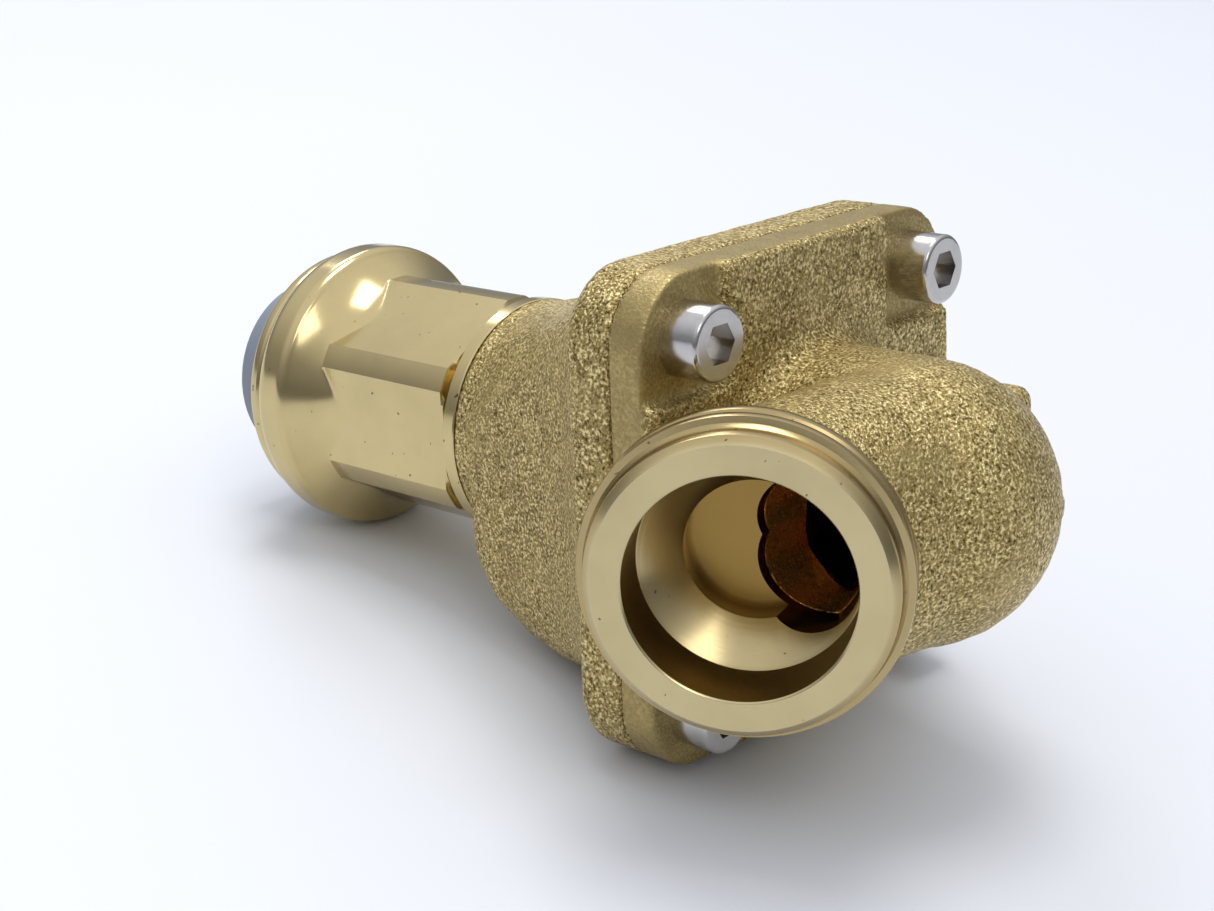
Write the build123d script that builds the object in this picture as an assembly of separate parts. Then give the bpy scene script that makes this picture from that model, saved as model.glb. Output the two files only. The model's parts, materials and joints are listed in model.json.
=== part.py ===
from build123d import *
import math
import os

# Backflow preventer for irrigation pipework. Millimetres, +Z up, +X along the water's way through the valve.
# Origin: on the main axis at the pipe stop inside the inlet's push-fit socket.

# Cast bodies
PARTING_X = 70.0  # joint face between the two castings
BACK_X = 62.4  # rear of the inlet body's flange
PLATE_X = 75.6  # floor of the screw pockets
BLOCK_X = 77.2  # front of the outlet body's flange
FLANGE = 68.2  # side of the square flange
FLANGE_R = 10.3  # its corner radius
EDGE_R = 1.6  # rounding of the cast edges
POCKET_R = 7.6
SCREW_PITCH = 51.0
NECK_X = 24.6  # mouth of the inlet body
NECK_R = 18.85
BELL = (  # bell behind the flange, round to square: x, half width, top, bottom, corner radius
    (27.6, 18.8, 18.8, -18.8, 18.7),
    (40.0, 19.7, 21.4, -21.4, 11.0),
    (52.0, 23.6, 26.0, -24.0, 8.0),
    (64.0, 32.4, 32.8, -24.0, 9.4),
)
BELLY = (  # swelling under the bell, which stands 1 mm proud of its sides
    (26.4, 17.4, 16.0, -19.0, 9.0),
    (28.4, 19.2, 17.0, -22.6, 9.0),
    (32.0, 20.0, 19.0, -26.4, 9.0),
    (38.0, 20.7, 22.0, -29.2, 9.0),
    (46.0, 22.6, 26.0, -30.2, 9.0),
    (54.0, 26.0, 30.0, -28.4, 9.0),
    (63.4, 33.0, 33.0, -25.0, 9.0),
)
RIDGE = (28.4, 6.0, 30.4)  # edge where the swelling ends: x, z, upward slope in degrees
DOME_X = 93.5  # centre of the outlet chamber
DOME_R = 19.5
FILLET_R = 3.6  # blend between the flange and the chamber
PAD = (17.2, 16.3, 27.4)  # pad on the chamber's far side: length, reach from the axis, height
CHAMBER_R = 16.5  # bore that holds both check valves
CHAMBER_X = (43.0, 83.0)
CAVITY_R = 15.2
WATERWAY_R = 10.5

# Outlet port: its axis leaves the main axis at PORT_X and leans this far towards +X
PORT_X = 72.4
PORT_TURN = -60.4
FACE_T = 45.75  # sealing face, measured along the port's axis
FACE_R = 18.3
PILOT_R = 19.4
THREAD_R = 20.955  # G 1 1/4 major radius
THREAD_T = (37.4, 42.0)
RELIEF_R = 19.4  # plain length behind the thread
PORT_NECK_T = 34.6
PORT_BORE_R = 14.45
PORT_BORE_DEPTH = 9.8
THROAT_R = 9.3
THROAT_DEPTH = 18.0
CONE_DEPTH = 14.6
CROSS = ((93.9, -2.0, 8.0), (91.8, 3.4, 5.9))  # two cored passages into the port: x, z, radius
CROSS_REACH_R = 14.2  # how far they may spread from the port's axis

# Flange screws, M6 socket head
SHANK_R = 3.0
TAPPED_R = 3.05
CLEAR_R = 3.3
HEAD_R = 5.0
HEAD_H = 6.0
SHANK_L = 12.0
KEY_AF = 5.0
KEY_DEPTH = 3.2

# Push-fit inlet for 25 mm pipe
HEX_AF = 34.5
HEX_TRIM_R = 18.9
HEX_X = (-7.0, 21.5)
COLLAR_RING_X = (22.1, 24.6)
MOUTH_X = -20.0
FLARE_R = 23.2
SOCKET_R = 12.65
GLAND_R = 16.2
GLAND_X = -9.0
SPIGOT_R = 13.95
SPIGOT_BORE_R = 14.0
SPIGOT_X = 38.0
COLLAR_R = 15.26
COLLAR_X = -30.2
HOOK_R = 16.0
RETAINER_R = 17.9
LIP_R = 15.34

# Check valves
CHECK_L = 19.0
CHECK_X = (43.0, 64.0)
HOUSING_R = 16.4
SEAT_R = 8.0
DISC_R = 10.0
STEM_R = 2.2
HUB_BORE_R = 2.26
WIRE_R = 0.5


def turned(points, *arcs):
    """Solid of revolution about X; points are (x, radius) and arcs replace the edge they start and end on."""
    edges = []
    for a, b in zip(points, points[1:] + points[:1]):
        mid = [m for s, m, e in arcs if s == a and e == b]
        edges.append(ThreePointArc(a, mid[0], b) if mid else Line(a, b))
    return revolve(Plane.XZ * make_face(edges), Axis.X)


def rod(x0, x1, r):
    return Pos(x0, 0, 0) * Rot(0, 90, 0) * extrude(Circle(r), x1 - x0)


def slab(x0, x1, side, corner):
    return extrude(Plane.YZ.offset(x0) * RectangleRounded(side, side, corner), x1 - x0)


def ring_seal(x0, x1, r0, r1, soft=0.5):
    """Rubber ring as it sits squeezed in its gland."""
    a = (x0 + soft, r0), (x1 - soft, r0), (x1, r0 + soft), (x1, r1 - soft)
    b = (x1 - soft, r1), (x0 + soft, r1), (x0, r1 - soft), (x0, r0 + soft)
    k = soft * (1 - math.sqrt(0.5))
    points = list(a + b)
    return turned(
        points,
        (points[1], (x1 - k, r0 + k), points[2]),
        (points[3], (x1 - k, r1 - k), points[4]),
        (points[5], (x0 + k, r1 - k), points[6]),
        (points[7], (x0 + k, r0 + k), points[0]),
    )


def blend(sections):
    """Straight-sided solid through rounded rectangles standing across X."""
    faces = []
    for x, half, top, bottom, corner in sections:
        outline = RectangleRounded(2 * half, top - bottom, corner)
        faces.append(Plane.YZ.offset(x) * Pos(0, (top + bottom) / 2) * outline)
    return loft(faces, ruled=True)


def at_screws():
    h = SCREW_PITCH / 2
    return [Pos(0, y, z) for y in (-h, h) for z in (-h, h)]


def at_port():
    return Pos(PORT_X, 0, 0) * Rot(0, 0, PORT_TURN)


def inlet_body():
    flange = slab(BACK_X, PARTING_X, FLANGE, FLANGE_R)
    back_edges = flange.faces().sort_by(Axis.X)[0].edges()
    flange = fillet(back_edges, EDGE_R)
    x, z, slope = RIDGE
    above = Pos(x, 0, z) * Rot(0, -slope, 0) * Pos(0, 0, 30) * Box(120, 120, 60)
    body = flange + blend(BELL) + (blend(BELLY) - above) + rod(NECK_X, 44.0, NECK_R)
    body -= rod(NECK_X - 1, SPIGOT_X + 0.4, SPIGOT_BORE_R)
    body -= rod(NECK_X - 1, NECK_X + 2.2, 15.6)
    body -= rod(SPIGOT_X, CHAMBER_X[0] + 1, WATERWAY_R)
    body -= rod(CHAMBER_X[0], PARTING_X + 1, CHAMBER_R)
    body -= rod(PARTING_X - 2.2, PARTING_X + 1, 20.8) - rod(PARTING_X - 2.2, PARTING_X + 1, 17.8)
    for spot in at_screws():
        body -= spot * rod(BACK_X - 1, PARTING_X + 1, TAPPED_R)
    return body


def outlet_body():
    flange = slab(PARTING_X, BLOCK_X, FLANGE, FLANGE_R)
    flange = fillet(flange.faces().sort_by(Axis.X)[-1].edges(), 1.2)
    reach = FLANGE / 2
    for spot in at_screws():
        y, z = math.copysign(1, spot.position.Y), math.copysign(1, spot.position.Z)
        pocket = rod(PLATE_X, BLOCK_X + 1, POCKET_R)
        for dy, dz in ((POCKET_R, reach), (reach, POCKET_R)):
            pocket += Pos((PLATE_X + BLOCK_X + 1) / 2, y * (dy - POCKET_R) / 2, z * (dz - POCKET_R) / 2) * Box(
                BLOCK_X + 1 - PLATE_X, dy + POCKET_R, dz + POCKET_R
            )
        flange -= spot * pocket
    back_x = PARTING_X + 0.5
    blend_r = DOME_R + FILLET_R
    blend_x = BLOCK_X + FILLET_R
    k = FILLET_R * (1 - math.sqrt(0.5))
    barrel = turned(
        [(back_x, 0), (back_x, blend_r), (BLOCK_X, blend_r), (blend_x, DOME_R), (DOME_X, DOME_R), (DOME_X, 0)],
        ((BLOCK_X, blend_r), (BLOCK_X + k, DOME_R + k), (blend_x, DOME_R)),
    )
    dome = Pos(DOME_X, 0, 0) * Sphere(DOME_R)
    pad = Pos(DOME_X, PAD[1] / 2, 0) * Box(PAD[0], PAD[1], PAD[2])
    pad = fillet(pad.edges().filter_by(Axis.Y), 2.0)
    pad = fillet(pad.faces().sort_by(Axis.Y)[-1].edges(), 1.5)
    port = turned(
        [
            (PORT_NECK_T, 0), (PORT_NECK_T, RELIEF_R), (THREAD_T[0] - 1.2, RELIEF_R), (THREAD_T[0], THREAD_R),
            (THREAD_T[1], THREAD_R), (THREAD_T[1] + 1.2, PILOT_R), (FACE_T - 1.1, PILOT_R), (FACE_T, FACE_R), (FACE_T, 0),
        ]
    )
    near = Plane.YZ.offset(PORT_NECK_T) * Circle(RELIEF_R - 0.8)
    far = Plane(origin=(DOME_X, 0, 0), x_dir=(1, 0, 0), z_dir=(0, -1, 0)) * Circle(DOME_R - 0.4)
    neck = loft([at_port() * near, far], ruled=True)
    body = flange + barrel + dome + pad + at_port() * port + neck

    throat = turned(
        [
            (FACE_T + 1, 0), (FACE_T + 1, PORT_BORE_R), (FACE_T - PORT_BORE_DEPTH, PORT_BORE_R),
            (FACE_T - CONE_DEPTH, THROAT_R), (FACE_T - THROAT_DEPTH, THROAT_R), (FACE_T - THROAT_DEPTH, 0),
        ]
    )
    body -= at_port() * throat
    body -= rod(PARTING_X - 1, CHAMBER_X[1], CHAMBER_R)
    body -= rod(CHAMBER_X[1] - 1, DOME_X, 13.5)
    body -= Pos(DOME_X, 0, 0) * Sphere(CAVITY_R)
    passage = at_port() * rod(14, FACE_T - 10, CROSS_REACH_R)
    for x, z, r in CROSS:
        body -= passage & Pos(x, 0, z) * Rot(90, 0, 0) * extrude(Circle(r), 30.0)
    for spot in at_screws():
        body -= spot * rod(PARTING_X - 1, BLOCK_X + 1, CLEAR_R)
    return body


def flange_screws():
    head_x = PLATE_X + HEAD_H
    screw = rod(PLATE_X - SHANK_L, PLATE_X + 0.5, SHANK_R)
    screw = chamfer(screw.faces().sort_by(Axis.X)[0].edges(), 0.6)
    head = rod(PLATE_X, head_x, HEAD_R)
    head = fillet(head.faces().sort_by(Axis.X)[-1].edges(), 0.6)
    socket = Plane.YZ.offset(head_x + 1) * RegularPolygon(KEY_AF / 2, 6, major_radius=False)
    screw = screw + head - extrude(socket, -(KEY_DEPTH + 1))
    return Compound(children=[spot * screw for spot in at_screws()])


def inlet_connector():
    hexagon = Plane.YZ.offset(HEX_X[0] - 4) * RegularPolygon(HEX_AF / 2, 6, major_radius=False)
    nut = extrude(hexagon, HEX_X[1] - HEX_X[0] + 4)
    x1 = HEX_X[1]
    nut &= turned([(-12, 0), (-12, HEX_TRIM_R), (x1 - 0.8, HEX_TRIM_R), (x1, HEX_AF / 2 - 0.2), (x1, 0)])
    ring = turned(
        [
            (x1 - 1, 0), (x1 - 1, 16.9), (COLLAR_RING_X[0], 16.9), (COLLAR_RING_X[0] + 0.5, NECK_R),
            (COLLAR_RING_X[1], NECK_R), (COLLAR_RING_X[1], SPIGOT_R), (SPIGOT_X - 0.8, SPIGOT_R),
            (SPIGOT_X, SPIGOT_R - 0.8), (SPIGOT_X, 0),
        ]
    )
    flare_points = [
        (MOUTH_X, 0), (MOUTH_X, 19.9), (-19.3, 21.0), (-18.3, 21.5), (-17.7, 21.3), (-17.1, 21.9), (-15.2, FLARE_R),
        (-11.4, FLARE_R), (-9.9, 22.5), (-1.5, 17.4), (-1.5, 0),
    ]
    flare = turned(
        flare_points,
        ((-19.3, 21.0), (-18.8, 21.4), (-18.3, 21.5)),
        ((-17.1, 21.9), (-16.3, 22.8), (-15.2, FLARE_R)),
        ((-11.4, FLARE_R), (-10.5, 23.0), (-9.9, 22.5)),
        ((-9.9, 22.5), (-6.4, 19.2), (-1.5, 17.4)),
    )
    body = nut + ring + flare
    body -= rod(-1, SPIGOT_X + 1, WATERWAY_R)
    body -= rod(GLAND_X - 1, 0, SOCKET_R)
    body -= rod(MOUTH_X - 1, GLAND_X, GLAND_R)
    body -= rod(MOUTH_X - 1, -15.2, RETAINER_R)
    return body


def tube_o_ring():
    return ring_seal(-12.9, GLAND_X - 0.1, SOCKET_R + 0.03, GLAND_R - 0.02, 1.2)


def grab_ring_spacer():
    return turned([(-14.7, 14.6), (-14.7, 16.1), (-13.0, 16.1), (-13.0, 12.9), (-13.4, 12.9), (-13.4, 14.6)])


def grab_ring():
    ring = turned(
        [(-15.1, 14.4), (-15.1, 16.1), (-14.8, 16.1), (-14.8, 14.4), (-13.8, 12.75), (-14.1, 12.75)],
    )
    slot = Pos(-14.4, 13.4, 0) * Box(2.0, 2.6, 0.9)
    for i in range(16):
        ring -= Rot(i * 22.5, 0, 0) * slot
    return ring


def collar_retainer():
    return turned(
        [(MOUTH_X, LIP_R), (MOUTH_X, RETAINER_R - 0.4), (-19.6, RETAINER_R - 0.05), (-15.3, RETAINER_R - 0.05),
         (-15.3, 16.1), (-18.8, 16.1), (-18.8, LIP_R)]
    )


def release_collar():
    return turned(
        [(COLLAR_X, 12.9), (COLLAR_X, 14.7), (COLLAR_X + 0.6, COLLAR_R), (-18.8, COLLAR_R), (-18.7, HOOK_R),
         (-17.9, HOOK_R), (-17.2, 15.2), (-17.2, 14.2), (-17.2, 13.6), (-17.9, SOCKET_R), (-29.6, SOCKET_R)]
    )


def connector_o_ring():
    return ring_seal(NECK_X + 0.05, NECK_X + 2.15, SPIGOT_R + 0.02, 15.55)


def flange_o_ring():
    return ring_seal(PARTING_X - 2.15, PARTING_X, 17.85, 20.75)


def module_spacer():
    x0 = CHECK_X[0] + CHECK_L
    return turned([(x0, 11.0), (x0, HOUSING_R), (CHECK_X[1], HOUSING_R), (CHECK_X[1], 11.0)])


def check_valve(x0):
    """One spring-loaded check valve, closed, with its inlet end at x0."""
    housing = turned(
        [
            (0, SEAT_R + 0.8), (0, 15.8), (0.6, HOUSING_R), (5.8, HOUSING_R), (5.8, 14.4), (8.6, 14.4),
            (8.6, HOUSING_R), (CHECK_L, HOUSING_R), (CHECK_L, 13.5), (18.3, 13.5), (18.3, 14.1), (17.1, 14.1),
            (17.1, 13.5), (14.0, 13.5), (14.0, 12.8), (3.0, 12.8), (3.0, SEAT_R), (0.8, SEAT_R),
        ]
    )
    poppet = turned(
        [(1.2, 0), (1.2, 2.6), (2.0, 3.2), (4.5, 3.2), (4.5, DISC_R), (6.6, DISC_R), (7.0, 9.6), (7.0, 4.6),
         (8.0, 3.6), (8.0, STEM_R), (16.6, STEM_R), (17.2, 1.6), (17.2, 0)]
    )
    seal = turned([(3.0, 3.22), (3.0, 9.4), (3.4, 9.8), (4.5, 9.8), (4.5, 3.22)])
    hub = turned([(12.2, HUB_BORE_R), (12.2, 3.4), (14.4, 4.4), (17.0, 4.4), (17.0, HUB_BORE_R)])
    rim = turned([(14.1, 12.0), (14.1, 13.45), (17.0, 13.45), (17.0, 12.0)])
    guide = hub + rim
    for i in range(4):
        guide += Rot(45 + i * 90, 0, 0) * Pos(15.7, 8.2, 0) * Box(2.6, 8.2, 1.8)
    clip = turned([(17.15, 12.2), (17.15, 14.0), (18.25, 14.0), (18.25, 12.2)])
    clip -= Pos(17.7, 0, -13) * Box(2, 5, 4)
    path = Helix(2.3, 6.0, 5.0, cone_angle=13.0)
    wire = sweep(Plane(origin=path @ 0, z_dir=path % 0) * Circle(WIRE_R), path, is_frenet=True)
    spring = Pos(13.7, 0, 0) * Rot(0, -90, 0) * wire
    o_ring = ring_seal(5.9, 8.5, 14.42, CHAMBER_R - 0.01, 0.9)
    parts = dict(housing=housing, poppet=poppet, poppet_seal=seal, guide=guide, retaining_ring=clip, spring=spring,
                 housing_o_ring=o_ring)
    return {name: Pos(x0, 0, 0) * shape for name, shape in parts.items()}


def main():
    os.makedirs("parts", exist_ok=True)
    single = (
        inlet_body, outlet_body, flange_screws, inlet_connector, tube_o_ring, grab_ring_spacer, grab_ring,
        collar_retainer, release_collar, connector_o_ring, flange_o_ring, module_spacer,
    )
    nodes = {make.__name__: make() for make in single}
    for order, x0 in zip(("first", "second"), CHECK_X):
        for name, shape in check_valve(x0).items():
            nodes[f"{order}_{name}"] = shape
    for name, shape in nodes.items():
        export_step(shape, f"parts/{name}.step")


main()
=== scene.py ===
"""Looks for the angled brass backflow preventer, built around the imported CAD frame."""

import json
import math

import bmesh
import bpy
from mathutils import Matrix, Vector, noise


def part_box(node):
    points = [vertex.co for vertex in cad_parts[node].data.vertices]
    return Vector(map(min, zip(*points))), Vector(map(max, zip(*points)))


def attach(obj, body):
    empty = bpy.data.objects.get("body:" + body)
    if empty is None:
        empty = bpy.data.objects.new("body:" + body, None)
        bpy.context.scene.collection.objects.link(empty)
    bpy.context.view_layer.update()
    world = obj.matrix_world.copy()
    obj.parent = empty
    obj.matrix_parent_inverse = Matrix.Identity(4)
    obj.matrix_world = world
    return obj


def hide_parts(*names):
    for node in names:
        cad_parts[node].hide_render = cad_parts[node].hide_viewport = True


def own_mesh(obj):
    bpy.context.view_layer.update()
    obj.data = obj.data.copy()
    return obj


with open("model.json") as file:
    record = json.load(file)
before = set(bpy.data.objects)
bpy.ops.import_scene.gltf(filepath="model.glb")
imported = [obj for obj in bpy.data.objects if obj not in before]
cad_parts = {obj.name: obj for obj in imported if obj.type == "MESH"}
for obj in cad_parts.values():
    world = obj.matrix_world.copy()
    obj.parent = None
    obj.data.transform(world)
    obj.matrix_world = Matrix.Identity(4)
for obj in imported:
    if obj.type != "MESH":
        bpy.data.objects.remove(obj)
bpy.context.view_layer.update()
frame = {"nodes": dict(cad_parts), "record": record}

MM = 0.001

# Places in the row frame, in metres
BODY_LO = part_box("outlet_body")[0]
PARTING_X = BODY_LO.x
FLANGE_Z = BODY_LO.z
CONNECTOR_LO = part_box("inlet_connector")[0]
MOUNTS = {m["name"]: m for m in frame["record"]["mounts"]}
PORT_AXIS = Vector(MOUNTS["outlet_face"]["axis"]).normalized()
DOME = Vector((0.0935, 0, 0))
DOME_R = 0.0195

# Outlet port, in millimetres from the point where its axis crosses the main axis
PORT_FOOT = Vector(MOUNTS["outlet_bore"]["pos_m"]) - PORT_AXIS * 0.04085
FACE_T = 45.75
BORE_R = MOUNTS["outlet_bore"]["dims"]["r_mm"]
THREAD_R = MOUNTS["outlet_thread"]["dims"]["r_mm"]
THREAD_T = (37.4, 42.0)
THREAD_PITCH = 2.85
PLUG_T = 26.4
PLUG_R = 16.4
RELIEF_R = 19.4
RING_T = 35.3
CROSS = ((93.9, -2.0, 8.0), (91.8, 3.4, 5.9))
CROSS_REACH = (FACE_T - 10, 14.2)


# ---------------------------------------------------------------- node helpers


class Nodes:
    """Short names for building one material's node tree."""

    def __init__(self, name):
        self.material = bpy.data.materials.new(name)
        self.material.use_nodes = True
        self.tree = self.material.node_tree
        self.shader = self.tree.nodes["Principled BSDF"]
        self.coords = self.tree.nodes.new("ShaderNodeTexCoord").outputs["Object"]

    def new(self, kind, **settings):
        node = self.tree.nodes.new(kind)
        for key, value in settings.items():
            setattr(node, key, value)
        return node

    def feed(self, socket, value):
        if isinstance(value, bpy.types.NodeSocket):
            self.tree.links.new(value, socket)
        else:
            socket.default_value = value

    def noise(self, size, detail=3.0, rough=0.5, vector=None, distortion=0.0):
        """Noise whose blotches are about size metres across."""
        node = self.new("ShaderNodeTexNoise")
        self.feed(node.inputs["Vector"], vector or self.coords)
        node.inputs["Scale"].default_value = 1 / size
        node.inputs["Detail"].default_value = detail
        node.inputs["Roughness"].default_value = rough
        node.inputs["Distortion"].default_value = distortion
        return node.outputs["Fac"]

    def ramp(self, value, stops):
        node = self.new("ShaderNodeValToRGB")
        band = node.color_ramp
        while len(band.elements) < len(stops):
            band.elements.new(0.5)
        for element, (at, tone) in zip(band.elements, stops):
            element.position = at
            element.color = (*tone, 1) if isinstance(tone, tuple) else (tone, tone, tone, 1)
        self.feed(node.inputs["Fac"], value)
        return node.outputs["Color"]

    def math(self, operation, a, b=0.0, clamp=False):
        node = self.new("ShaderNodeMath", operation=operation, use_clamp=clamp)
        self.feed(node.inputs[0], a)
        self.feed(node.inputs[1], b)
        return node.outputs[0]

    def mix(self, amount, a, b, blend="MIX"):
        node = self.new("ShaderNodeMix", data_type="RGBA", blend_type=blend)
        self.feed(node.inputs["Factor"], amount)
        self.feed(node.inputs["A"], (*a, 1) if isinstance(a, tuple) else a)
        self.feed(node.inputs["B"], (*b, 1) if isinstance(b, tuple) else b)
        return node.outputs["Result"]

    def stretched(self, scale):
        node = self.new("ShaderNodeMapping")
        self.feed(node.inputs["Vector"], self.coords)
        node.inputs["Scale"].default_value = scale
        return node.outputs["Vector"]

    def along_x(self):
        node = self.new("ShaderNodeSeparateXYZ")
        self.feed(node.inputs[0], self.coords)
        return node.outputs["X"]

    def bump(self, height, strength, distance, below=None):
        node = self.new("ShaderNodeBump")
        self.feed(node.inputs["Strength"], strength)
        node.inputs["Distance"].default_value = distance
        self.feed(node.inputs["Height"], height)
        if below is not None:
            self.feed(node.inputs["Normal"], below)
        return node.outputs["Normal"]

    def finish(self, color, roughness, normal=None, metallic=0.0, **constants):
        self.feed(self.shader.inputs["Base Color"], (*color, 1) if isinstance(color, tuple) else color)
        self.feed(self.shader.inputs["Roughness"], roughness)
        self.shader.inputs["Metallic"].default_value = metallic
        if normal is not None:
            self.feed(self.shader.inputs["Normal"], normal)
        for key, value in constants.items():
            self.shader.inputs[key.replace("_", " ")].default_value = value
        return self.material


# ------------------------------------------------------------------- materials


def cast_brass():
    """Sand-cast brass: a grain with painted highlight on its high spots and painted shade in its pits,
    smoother on the outlet rim and in the passages.
    """
    n = Nodes("cast_brass")
    grain = n.noise(0.00044, 2.0, 0.6)
    fine = n.noise(0.00030, 2.0, 0.5)
    blotch = n.noise(0.005, 3.0, 0.55)
    cored = passage_mask(n)
    calm = n.math("MAXIMUM", n.ramp(n.noise(0.011, 2.0, 0.5), [(0.56, 0.0), (0.72, 0.45)]), rim_mask(n))
    calm = n.math("MAXIMUM", calm, cored)
    rugged = n.math("SUBTRACT", 1.0, calm)
    tone = n.ramp(blotch, [(0.3, (0.325, 0.236, 0.078)), (0.7, (0.455, 0.346, 0.128))])
    # Painted highlight: the brightest grain spots are coloured pale gold outside the calm patches.
    painted_highlight = n.ramp(grain, [(0.52, 0.0), (0.62, 1.0)])
    tone = n.mix(n.math("MULTIPLY", painted_highlight, rugged), tone, (0.92, 0.76, 0.38))
    # Painted shade: the lowest grain spots are coloured near black, as shade in the pits, outside the calm
    # patches.
    pit_shade = n.ramp(grain, [(0.34, 0.90), (0.43, 0.0)])
    tone = n.mix(n.math("MULTIPLY", pit_shade, rugged), tone, (0.060, 0.036, 0.008))
    tone = n.mix(n.math("MULTIPLY", calm, 0.5), tone, (0.370, 0.285, 0.130))
    tone = n.mix(cored, tone, (0.82, 0.43, 0.10))
    polish = n.math("SUBTRACT", 1.0, n.math("MULTIPLY", cored, 0.5))
    rough = n.math("MULTIPLY", n.ramp(grain, [(0.35, 0.58), (0.65, 0.30)]), polish)
    strength = n.math("ADD", n.math("MULTIPLY", rugged, 0.80), 0.20)
    normal = n.bump(n.math("ADD", grain, n.math("MULTIPLY", fine, 0.35)), strength, 0.00042)
    return n.finish(tone, rough, n.bump(blotch, 0.25, 0.0005, normal), metallic=0.85)


def passage_mask(n):
    """1 on the wet, smooth walls inside the chamber and on the way to the port."""
    flat = n.new("ShaderNodeVectorMath", operation="MULTIPLY")
    n.feed(flat.inputs[0], n.coords)
    flat.inputs[1].default_value = (1, 0, 1)
    masks = []
    for place, centre, reach in ((flat.outputs[0], (DOME.x, 0, -0.0008), 0.0108), (n.coords, DOME, 0.0172)):
        far = n.new("ShaderNodeVectorMath", operation="DISTANCE")
        n.feed(far.inputs[0], place)
        far.inputs[1].default_value = centre
        masks.append(n.math("LESS_THAN", far.outputs["Value"], reach))
    split = n.new("ShaderNodeSeparateXYZ")
    n.feed(split.inputs[0], n.coords)
    masks[0] = n.math("MULTIPLY", masks[0], n.math("LESS_THAN", split.outputs["Y"], 0.0))
    return n.math("MAXIMUM", *masks)


def rim_mask(n):
    """1 on the strip of the outlet body between the parting plane and the pocket floors."""
    x = n.along_x()
    return n.math(
        "MULTIPLY",
        n.ramp(n.math("MULTIPLY", x, 10.0), [(0.703, 0.0), (0.706, 0.85)]),
        n.ramp(n.math("MULTIPLY", x, 10.0), [(0.757, 1.0), (0.760, 0.0)]),
    )


def turned_brass(name, color, rough, marks=0.10, tarnish=()):
    """Machined brass, with tool marks that run round local X. Tarnish is a ramp over X in decimetres."""
    mark_size = 0.00035
    n = Nodes(name)
    lathe = n.noise(1.0, 2.0, 0.5, n.stretched((1 / mark_size, 12, 12)))
    stain = n.noise(0.012, 4.0, 0.6)
    speck = n.ramp(n.noise(0.0008, 0.0, 0.4), [(0.145, 1.0), (0.160, 0.0)])
    tone = n.mix(n.ramp(stain, [(0.35, 0.0), (0.75, 0.6)]), color, tuple(c * 0.80 for c in color))
    tone = n.mix(speck, tone, tuple(c * 0.30 for c in color))
    if tarnish:
        dull = n.ramp(n.math("MULTIPLY", n.along_x(), 10.0), tarnish)
        tone = n.mix(dull, tone, (0.30, 0.185, 0.050))
    roughness = n.math("ADD", n.math("MULTIPLY", stain, 0.10), rough)
    return n.finish(tone, roughness, n.bump(lathe, marks, 0.00003), metallic=1.0)


def steel(name, color, rough, mark_size=0.0002):
    n = Nodes(name)
    lathe = n.noise(1.0, 2.0, 0.5, n.stretched((1 / mark_size, 30, 30)))
    stain = n.noise(0.003, 3.0, 0.6)
    tone = n.mix(n.ramp(stain, [(0.4, 0.0), (0.8, 0.5)]), color, tuple(c * 0.75 for c in color))
    roughness = n.math("ADD", n.math("MULTIPLY", stain, 0.12), rough)
    return n.finish(tone, roughness, n.bump(lathe, 0.08, 0.00002), metallic=1.0)


def plastic(name, color, rough=0.42, fleck=0.06):
    n = Nodes(name)
    cloud = n.noise(0.008, 3.0, 0.5)
    fine = n.noise(0.0004, 2.0, 0.5)
    tone = n.mix(n.math("MULTIPLY", cloud, fleck * 4), color, tuple(c * 0.8 for c in color))
    roughness = n.math("ADD", n.math("MULTIPLY", cloud, 0.12), rough)
    return n.finish(tone, roughness, n.bump(fine, 0.12, 0.00004))


def rubber(name):
    n = Nodes(name)
    fine = n.noise(0.0003, 3.0, 0.6)
    tone = n.mix(n.noise(0.004), (0.018, 0.018, 0.019), (0.045, 0.044, 0.042))
    return n.finish(tone, n.math("ADD", n.math("MULTIPLY", fine, 0.2), 0.5), n.bump(fine, 0.2, 0.00004))


PORT_TARNISH = [
    (0.276, 1.0), (0.282, 0.95), (0.300, 0.3), (0.357, 0.2), (0.361, 0.5), (0.452, 0.4), (0.4565, 0.0),
]
MATERIALS = {
    "cast_brass": cast_brass(),
    "turned_brass": turned_brass("turned_brass", (0.62, 0.50, 0.25), 0.11),
    "port_brass": turned_brass("port_brass", (0.60, 0.50, 0.27), 0.19, 0.16, PORT_TARNISH),
    "screw_steel": steel("screw_steel", (0.56, 0.54, 0.52), 0.12),
    "grey_plastic": plastic("grey_plastic", (0.24, 0.27, 0.32)),
    "white_plastic": plastic("white_plastic", (0.72, 0.72, 0.68)),
    "black_plastic": plastic("black_plastic", (0.02, 0.02, 0.022)),
    "blue_plastic": plastic("blue_plastic", (0.02, 0.05, 0.16)),
    "black_rubber": rubber("black_rubber"),
    "spring_steel": steel("spring_steel", (0.62, 0.62, 0.62), 0.2),
}


def paint_nodes():
    for part in frame["record"]["subparts"]:
        shown = frame["nodes"][part["node"]]
        shown.data.materials.clear()
        shown.data.materials.append(MATERIALS[part["material_slot"]])


# --------------------------------------------------------------- mesh helpers


def add_mesh(name, bm, material, sharp=None):
    mesh = bpy.data.meshes.new(name)
    bm.to_mesh(mesh)
    bm.free()
    piece = bpy.data.objects.new(name, mesh)
    bpy.context.collection.objects.link(piece)
    if material:
        mesh.materials.append(MATERIALS[material])
    for face in mesh.polygons:
        face.use_smooth = True
    if sharp is not None:
        mesh.set_sharp_from_angle(angle=math.radians(sharp))
    return piece


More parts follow.
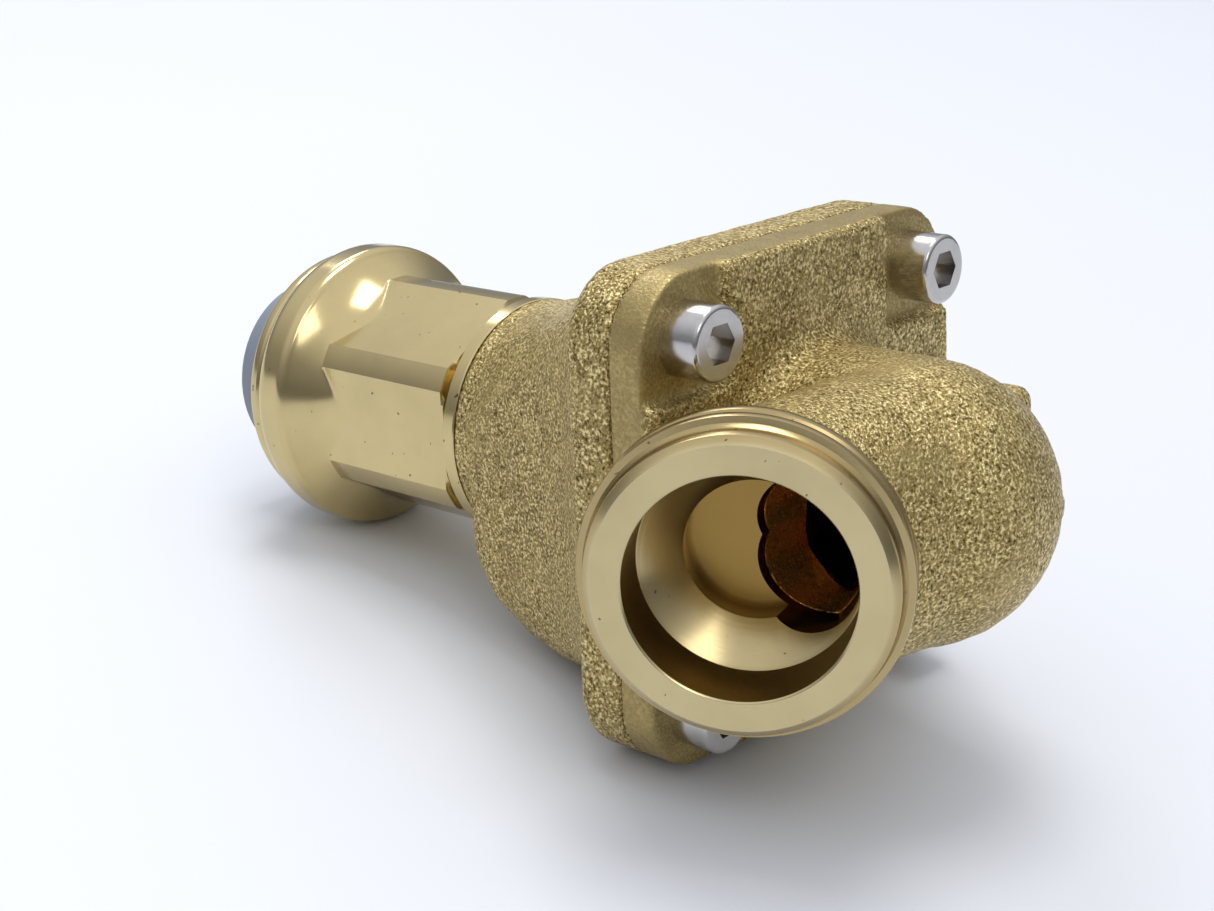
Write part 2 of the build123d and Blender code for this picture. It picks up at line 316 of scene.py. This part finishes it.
def lathe(profile, steps=180):
    """Closed solid turned about X from a closed (x, radius) outline in mm; ends may lie on the axis."""
    bm = bmesh.new()
    rings = []
    for x, r in profile:
        if r < 1e-6:
            rings.append([bm.verts.new((x * MM, 0, 0))])
            continue
        turns = [2 * math.pi * i / steps for i in range(steps)]
        rings.append([bm.verts.new((x * MM, r * MM * math.cos(a), r * MM * math.sin(a))) for a in turns])
    pairs = list(zip(rings, rings[1:]))
    if len(rings[0]) > 1:
        pairs.append((rings[-1], rings[0]))
    for a, b in pairs:
        for i in range(steps):
            j = (i + 1) % steps
            corners = [a[i % len(a)], a[j % len(a)], b[j % len(b)], b[i % len(b)]]
            bm.faces.new(list(dict.fromkeys(corners)))
    bmesh.ops.recalc_face_normals(bm, faces=bm.faces)
    return bm


def apply_modifiers(piece):
    shown = piece.evaluated_get(bpy.context.evaluated_depsgraph_get())
    mesh = bpy.data.meshes.new_from_object(shown)
    piece.modifiers.clear()
    piece.data = mesh
    return piece


def boolean(piece, other, operation="DIFFERENCE"):
    """Combines piece with other and removes other."""
    cut = piece.modifiers.new("cut", "BOOLEAN")
    cut.operation = operation
    cut.solver = "MANIFOLD"
    cut.object = other
    bpy.context.view_layer.update()
    apply_modifiers(piece)
    bpy.data.objects.remove(other)
    return piece


def on_port(piece):
    """Turns a piece made about its own X so that X is the port's axis."""
    turn = Vector((1, 0, 0)).rotation_difference(PORT_AXIS).to_matrix().to_4x4()
    piece.matrix_world = Matrix.Translation(PORT_FOOT) @ turn
    return piece


def belongs(piece, body, slot, *nodes):
    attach(piece, body)
    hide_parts(*nodes)
    return piece


# -------------------------------------------------------------------- castings


def cast_skin(name, node, voxel, cutters=()):
    """The casting's own surface: the CAD shape with soft edges, cut by the cutters, in cast brass."""
    source = frame["nodes"][node]
    bm = bmesh.new()
    bm.from_mesh(source.data)
    bm.transform(source.matrix_world)
    bmesh.ops.remove_doubles(bm, verts=bm.verts, dist=1e-6)
    piece = add_mesh(name, bm, None)
    remesh = piece.modifiers.new("skin", "REMESH")
    remesh.mode = "VOXEL"
    remesh.voxel_size = voxel
    soften = piece.modifiers.new("soften", "SMOOTH")
    soften.factor = 0.5
    soften.iterations = 3
    bpy.context.view_layer.update()
    apply_modifiers(piece)
    for cutter in cutters:
        boolean(piece, cutter)
    piece.data.materials.clear()
    piece.data.materials.append(MATERIALS["cast_brass"])
    for face in piece.data.polygons:
        face.material_index = 0
    return piece


def raise_skin(piece, node, height):
    """Moves each vertex along its normal by height(place), and keeps it inside its CAD node's box."""
    lo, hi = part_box(node)
    moved = []
    for vertex in piece.data.vertices:
        place = vertex.co + vertex.normal * height(vertex.co)
        moved.append([min(max(c, a), b) for c, a, b in zip(place, lo, hi)])
    for vertex, place in zip(piece.data.vertices, moved):
        vertex.co = place
    for face in piece.data.polygons:
        face.use_smooth = True
    return piece


def grain(p, depth):
    """Sand-mould unevenness at p."""
    return depth * (noise.noise(p * 260) * 0.6 + noise.noise(p * 620 + Vector((7, 3, 5))) * 0.6)


def parting_rib(p):
    """Thin line on the dome where the two halves of its mould met."""
    if p.x < DOME.x + 0.003 or (p - DOME).length < DOME_R - 0.0012:
        return 0.0
    return 0.00030 * math.exp(-((p.z / 0.0006) ** 2))


def passage_cutters():
    """The two cored passages into the port, cut back to the port's own width."""
    end, width = CROSS_REACH
    cutters = []
    for x, z, r in CROSS:
        core = add_mesh("core", lathe([(0, 0), (0, r), (30, r), (30, 0)], 96), None)
        core.data.transform(Matrix.Translation((x * MM, 0, z * MM)) @ Matrix.Rotation(-math.pi / 2, 4, "Z"))
        limit = on_port(add_mesh("limit", lathe([(14, 0), (14, width), (end, width), (end, 0)], 96), None))
        cutters.append(boolean(core, limit, "INTERSECT"))
    return cutters


def outlet_casting():
    plug = on_port(add_mesh(
        "plug",
        lathe([(PLUG_T, 0), (PLUG_T, PLUG_R), (RING_T, PLUG_R), (RING_T, 30), (60, 30), (60, 0)]),
        None
    ))
    piece = cast_skin("outlet_casting", "outlet_body", 0.00058, [plug])

    def height(p):
        return grain(p, 0.00014 if p.x > PARTING_X + 0.0058 else 0.00005) + parting_rib(p)

    return raise_skin(piece, "outlet_body", height)


def inlet_casting():
    piece = cast_skin("inlet_casting", "inlet_body", 0.00058)
    return raise_skin(piece, "inlet_body", lambda p: grain(p, 0.00013))


# ------------------------------------------------------------------ brass work


def thread(first, last, major, pitch, depth):
    """Outline of rounded ridges one pitch apart, centred between first and last."""
    count = math.ceil((last - first) / pitch)
    crest = (first + last - (count - 1) * pitch) / 2
    points = [(first, major - depth)]
    for i in range(count):
        points += [(crest - 0.28 * pitch, major - 0.12 * depth), (crest - 0.14 * pitch, major),
                   (crest + 0.14 * pitch, major), (crest + 0.28 * pitch, major - 0.12 * depth)]
        crest += pitch
        if i < count - 1:
            points.append((crest - pitch / 2, major - depth))
    return points + [(last, major - depth)]


def port_ring():
    """The machined end of the outlet: thread, sealing face, recess, cone and the floor with its openings."""
    outline = [
        (PLUG_T, 0), (PLUG_T, PLUG_R - 0.02), (RING_T, PLUG_R - 0.02), (RING_T, RELIEF_R - 0.1),
        (RING_T + 0.2, RELIEF_R), (THREAD_T[0] - 0.4, RELIEF_R),
    ]
    outline += thread(*THREAD_T, THREAD_R - 0.03, THREAD_PITCH, 0.95)
    outline += [
        (THREAD_T[1] + 0.5, 19.55), (THREAD_T[1] + 1.0, 19.4), (FACE_T - 1.15, 19.4), (FACE_T - 1.0, 19.34),
        (FACE_T - 0.12, 18.42), (FACE_T, 18.3), (FACE_T, 14.72), (FACE_T - 0.06, 14.6),
        (FACE_T - 0.22, BORE_R),
        (FACE_T - 9.8, BORE_R), (FACE_T - 9.9, BORE_R - 0.15), (FACE_T - 14.5, 9.42), (FACE_T - 14.62, 9.3),
        (FACE_T - 18, 9.3), (FACE_T - 18, 0),
    ]
    piece = on_port(add_mesh("port_ring", lathe(outline, 240), "port_brass"))
    for cutter in passage_cutters():
        boolean(piece, cutter)
    piece.data.materials.clear()
    piece.data.materials.append(MATERIALS["port_brass"])
    for face in piece.data.polygons:
        face.use_smooth = True
        face.material_index = 0
    piece.data.set_sharp_from_angle(angle=math.radians(24))
    return piece


HEX_HALF = 17.25
HEX_TRIM_R = 18.9


def connector_radius(x, angle):
    """Outer radius of the inlet connector, in millimetres."""
    turned = interpolate(CONNECTOR_OUTLINE, x)
    if -12.0 < x < 21.6:
        corner = (angle + math.pi / 6) % (math.pi / 3) - math.pi / 6
        flats = HEX_HALF / math.cos(corner)
        return max(min(flats, HEX_TRIM_R, interpolate(HEX_END, x)), turned)
    return turned


def interpolate(points, x):
    for (x0, r0), (x1, r1) in zip(points, points[1:]):
        if x0 <= x <= x1:
            return r0 + (r1 - r0) * (x - x0) / (x1 - x0)
    return points[-1][1] if x > points[-1][0] else points[0][1]


def arc(centre, r, start, end, steps):
    """Points on a circle, angles in degrees from +x towards +radius."""
    turns = [math.radians(start + (end - start) * i / steps) for i in range(steps + 1)]
    return [(centre[0] + r * math.cos(a), centre[1] + r * math.sin(a)) for a in turns]


HEX_END = [(-12, 30), (20.6, 30), (20.8, HEX_TRIM_R), (21.5, HEX_HALF - 0.2)]


def flare_outline():
    """Lip, bead and long hollow curve of the flared mouth."""
    lip = arc((-19.1, 20.6), 0.9, 180, 90, 6)
    bead = [(-18.2, 21.5), (-17.8, 21.28), (-17.5, 21.45)]
    belly = arc((-14.4, 20.7), 2.5, 150, 90, 8) + arc((-11.4, 21.4), 1.8, 90, 30, 10)
    hollow = []
    for i in range(1, 25):
        u = i / 24
        x = belly[-1][0] + (-1.5 - belly[-1][0]) * u
        hollow.append((x, 17.3 + (belly[-1][1] - 17.3) * (1 - u) ** 1.9))
    return lip + bead + belly + hollow


CONNECTOR_OUTLINE = flare_outline() + [
    (21.5, 16.9), (22.1, 16.9), (22.2, 18.6), (22.5, 18.85), (24.4, 18.85), (24.6, 18.7),
]


def inlet_connector():
    """Hexagon body with a flared mouth; its bores follow the CAD."""
    breaks = sorted({x for x, _ in CONNECTOR_OUTLINE} | {x for x, _ in HEX_END if x > 0} | {21.49, 21.52})
    stations = []
    for a, b in zip(breaks, breaks[1:]):
        fill = max(1, round((b - a) / 0.45))
        stations += [a + (b - a) * i / fill for i in range(fill)]
    stations.append(breaks[-1])
    edge = math.acos(HEX_HALF / HEX_TRIM_R)
    turns = []
    for k in range(6):
        base = k * math.pi / 3
        turns += [base - edge + 2 * edge * i / 34 for i in range(35)]
        gap = math.pi / 3 - 2 * edge
        turns += [base + edge + gap * i / 10 for i in range(1, 10)]
    bm = bmesh.new()
    rings = []
    for x in stations:
        rings.append([
            bm.verts.new((x * MM, *(connector_radius(x, a) * MM * f(a) for f in (math.cos, math.sin))))
            for a in turns
        ])
    bore = [
        (24.6, 13.95), (37.2, 13.95), (38.0, 13.15), (38.0, 10.5), (0, 10.5), (0, 12.65),
        (-9, 12.65), (-9, 16.2),
        (-15.2, 16.2), (-15.2, 17.9), (-20, 17.9),
    ]
    for x, r in bore:
        rings.append([bm.verts.new((x * MM, r * MM * math.cos(a), r * MM * math.sin(a))) for a in turns])
    for a, b in zip(rings, rings[1:] + rings[:1]):
        for i in range(len(turns)):
            j = (i + 1) % len(turns)
            bm.faces.new((a[i], a[j], b[j], b[i]))
    bmesh.ops.recalc_face_normals(bm, faces=bm.faces)
    return add_mesh("connector", bm, "turned_brass", 18)


# --------------------------------------------------------------------- springs


def spring(order, start, end):
    """Conical wire spring with closed ends, between start and end along X."""
    wire, sides, steps = 0.0005, 8, 190
    inside = wire + 0.00001
    bm = bmesh.new()
    rings = []
    turns = 4.6
    for i in range(steps + 1):
        u = i / steps
        rise = min(max((u - 0.16) / 0.68, 0), 1)
        x = start + inside + (end - start - 2 * inside) * rise
        r = 0.0060 - 0.0014 * (1 - rise)
        angle = 2 * math.pi * turns * u
        out = Vector((0, math.cos(angle), math.sin(angle)))
        side = Vector((1, 0, 0))
        centre = Vector((x, 0, 0)) + out * r
        ring = [
            bm.verts.new(centre + (out * math.cos(a) + side * math.sin(a)) * wire)
            for a in (2 * math.pi * k / sides for k in range(sides))
        ]
        rings.append(ring)
    for a, b in zip(rings, rings[1:]):
        for k in range(sides):
            bm.faces.new((a[k], a[(k + 1) % sides], b[(k + 1) % sides], b[k]))
    bm.faces.new(rings[0])
    bm.faces.new(reversed(rings[-1]))
    bmesh.ops.recalc_face_normals(bm, faces=bm.faces)
    piece = add_mesh(f"{order}_check_spring", bm, "spring_steel", 60)
    belongs(piece, "valve", "spring_steel", f"{order}_spring")
    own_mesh(piece)
    return piece


paint_nodes()
belongs(outlet_casting(), "valve", "cast_brass", "outlet_body")
belongs(inlet_casting(), "valve", "cast_brass", "inlet_body")
belongs(port_ring(), "valve", "cast_brass")
belongs(inlet_connector(), "valve", "turned_brass", "inlet_connector")
for order in ("first", "second"):
    lo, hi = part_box(f"{order}_spring")
    spring(order, lo.x, hi.x)

# ------------------------------------------------------------- floor and light

FLANGE_REST = PARTING_X - 0.0076
FLARE_REST = CONNECTOR_LO.x + 0.0048
FLOOR_GAP = 0.0001
TILT = math.atan2(CONNECTOR_LO.z - FLANGE_Z, FLARE_REST - FLANGE_REST)


def floor():
    """The pale table, tilted so that the flange's lower edge and the flared end rest on it."""
    bm = bmesh.new()
    bmesh.ops.create_grid(bm, size=3)
    plane = add_mesh("floor", bm, None)
    plane.rotation_euler = (0, -TILT, 0)
    down = Vector((math.sin(-TILT), 0, math.cos(TILT))) * FLOOR_GAP
    plane.location = Vector((FLANGE_REST, 0, FLANGE_Z)) - down
    n = Nodes("floor")
    tone = n.mix(n.noise(0.25, 2.0), (0.770, 0.790, 0.835), (0.800, 0.818, 0.855))
    plane.data.materials.append(n.finish(tone, 0.55, n.bump(n.noise(0.003), 0.05, 0.0002)))


floor()


def soft_light(name, place, target, size, watts, color):
    """Rectangular lamp at place, turned to target."""
    data = bpy.data.lights.new(name, "AREA")
    data.shape = "RECTANGLE"
    data.size, data.size_y = size
    data.energy = watts
    data.color = color
    lamp = bpy.data.objects.new(name, data)
    bpy.context.collection.objects.link(lamp)
    lamp.location = place
    lamp.rotation_euler = (target - place).to_track_quat("-Z", "Y").to_euler()


MIDDLE = Vector((0.045, -0.005, 0.0))
soft_light("key", MIDDLE + Vector((0.02, 0.16, 1.2)), MIDDLE, (0.5, 0.5), 4.6, (1.0, 0.99, 0.97))
soft_light("back", MIDDLE + Vector((-0.85, 0.55, 1.05)), MIDDLE, (0.5, 0.5), 3.4, (0.97, 0.98, 1.0))
soft_light("side", MIDDLE + Vector((0.6, -0.35, 0.55)), MIDDLE, (0.3, 0.3), 0.7, (1.0, 1.0, 1.0))


def sky():
    """Soft room light: bright overhead, dimmer towards the horizon."""
    world = bpy.data.worlds.new("studio")
    bpy.context.scene.world = world
    world.use_nodes = True
    tree = world.node_tree
    place = tree.nodes.new("ShaderNodeTexCoord")
    split = tree.nodes.new("ShaderNodeSeparateXYZ")
    ramp = tree.nodes.new("ShaderNodeValToRGB")
    tree.links.new(place.outputs["Generated"], split.inputs[0])
    tree.links.new(split.outputs["Z"], ramp.inputs["Fac"])
    seen = tree.nodes.new("ShaderNodeLightPath")
    pale = tree.nodes.new("ShaderNodeMix")
    pale.data_type = "RGBA"
    pale.inputs["B"].default_value = (0.80, 0.83, 0.89, 1)
    tree.links.new(seen.outputs["Is Camera Ray"], pale.inputs["Factor"])
    tree.links.new(ramp.outputs["Color"], pale.inputs["A"])
    tree.links.new(pale.outputs["Result"], tree.nodes["Background"].inputs["Color"])
    band = ramp.color_ramp
    band.elements.new(0.5)
    for element, (at, level) in zip(band.elements, ((0.0, 0.20), (0.32, 0.38), (0.75, 1.0))):
        element.position = at
        element.color = (level * 0.95, level * 0.975, level * 1.04, 1)


sky()

bpy.context.scene.view_settings.view_transform = "Standard"

# ---------------------------------------------------------------------- camera

AZIMUTH, ELEVATION, ROLL = math.radians(42.4), math.radians(17.4), -0.04
DISTANCE = 0.309
LENS = 60.45
TARGET = Vector((0.03836, 0.0, -0.00347))


def camera():
    """The main camera, turned round TARGET from the front and rolled a little."""
    flat = math.cos(ELEVATION)
    back = Vector((math.sin(AZIMUTH) * flat, -math.cos(AZIMUTH) * flat, math.sin(ELEVATION)))
    level = Vector((0, 0, 1)).cross(back).normalized()
    up = back.cross(level)
    right = math.cos(ROLL) * level + math.sin(ROLL) * up
    top = back.cross(right)
    data = bpy.data.cameras.new("camera")
    data.lens = LENS
    data.clip_start = 0.01
    data.clip_end = 20
    seen = bpy.data.objects.new("camera", data)
    bpy.context.collection.objects.link(seen)
    turn = Matrix((right, top, back)).transposed().to_4x4()
    seen.matrix_world = Matrix.Translation(TARGET + back * DISTANCE) @ turn
    bpy.context.scene.camera = seen


camera()
